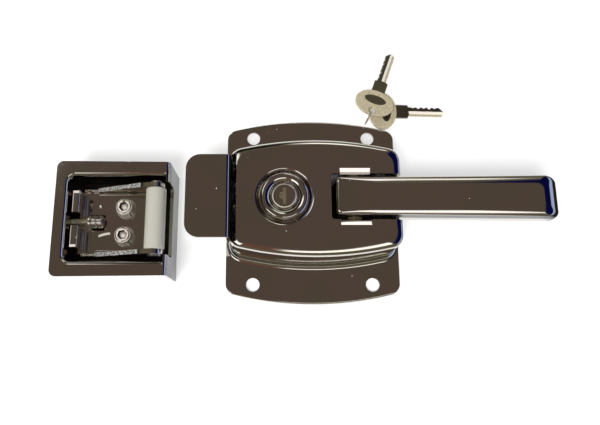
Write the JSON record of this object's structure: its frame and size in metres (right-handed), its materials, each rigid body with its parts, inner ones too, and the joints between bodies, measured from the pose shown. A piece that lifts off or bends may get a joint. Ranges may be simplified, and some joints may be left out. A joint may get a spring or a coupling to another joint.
{
  "type": "cold room door latch",
  "caption": "Chromed cold room door latch: pressed dome case with lock and pull handle, swinging hook tongue, adjustable roller strike and keys on a wire ring",
  "frame": {"origin": "centre of the four fixing holes of the case, on the back plane", "axes": "X along the handle towards its free end, Y up the case, Z out of the door"},
  "size_m": [0.3006, 0.1711, 0.041],
  "materials": {
    "chrome": "bright chrome plate on pressed and cast metal",
    "zinc": "bright zinc plate",
    "nylon": "white nylon, slightly translucent",
    "nickel": "nickel plated brass"
  },
  "bodies": {
    "root": {"case": "chrome", "pin_bracket": "zinc", "handle_pin": "zinc", "handle_washers": "nylon", "handle_pin_clips": "zinc", "tongue_pin": "zinc", "tongue_pin_clips": "zinc", "tongue_spring": "zinc", "lock_cylinder": "zinc", "lock_bezel": "chrome", "lock_nut": "zinc", "strike_tray": "chrome", "clamp_screws": "zinc", "clamp_washers": "zinc", "clamp_nuts": "zinc", "adjuster_nut": "zinc", "key_a": "nickel", "key_b": "nickel", "key_ring": "zinc"},
    "handle": {"handle": "chrome"},
    "tongue": {"tongue": "chrome"},
    "lock_plug": {"lock_plug": "nickel", "lock_cam": "zinc", "cam_screw": "zinc"},
    "carriage": {"roller_carriage": "chrome", "roller_axle": "zinc"},
    "roller": {"roller": "nylon"},
    "adjusting_screw": {"adjusting_screw": "zinc", "adjuster_washer": "zinc"}
  },
  "joints": [
    {"name": "handle_pull", "type": "hinge", "parent": "root", "child": "handle", "pos_m": [0.0235, 0, 0.0308], "axis": [0, -1, 0], "range_deg": [0, 25]},
    {"name": "tongue_swing", "type": "hinge", "parent": "root", "child": "tongue", "pos_m": [-0.0441, 0, 0.024], "axis": [0, 1, 0], "range_deg": [0, 12.5], "deforming": ["tongue_spring"]},
    {"name": "lock_turn", "type": "hinge", "parent": "root", "child": "lock_plug", "pos_m": [-0.0185, 0, 0.035], "axis": [0, 0, 1], "range_deg": [0, 90]},
    {"name": "carriage_slide", "type": "slide", "parent": "root", "child": "carriage", "axis": [1, 0, 0], "range_m": [-0.002, 0.002]},
    {"name": "adjuster_turn", "type": "hinge", "parent": "carriage", "child": "adjusting_screw", "pos_m": [-0.132, -0.0123, 0.0223], "axis": [1, 0, 0], "range_deg": [-721, 721]},
    {"name": "roller_spin", "type": "hinge", "parent": "carriage", "child": "roller", "pos_m": [-0.0949, -0.0123, 0.032], "axis": [0, 1, 0], "continuous": true}
  ],
  "couplings": [
    {"joint": "tongue_swing", "follows": "handle_pull", "ratio": 0.5},
    {"joint": "adjuster_turn", "follows": "carriage_slide", "rad_per_m": 6283.2}
  ]
}
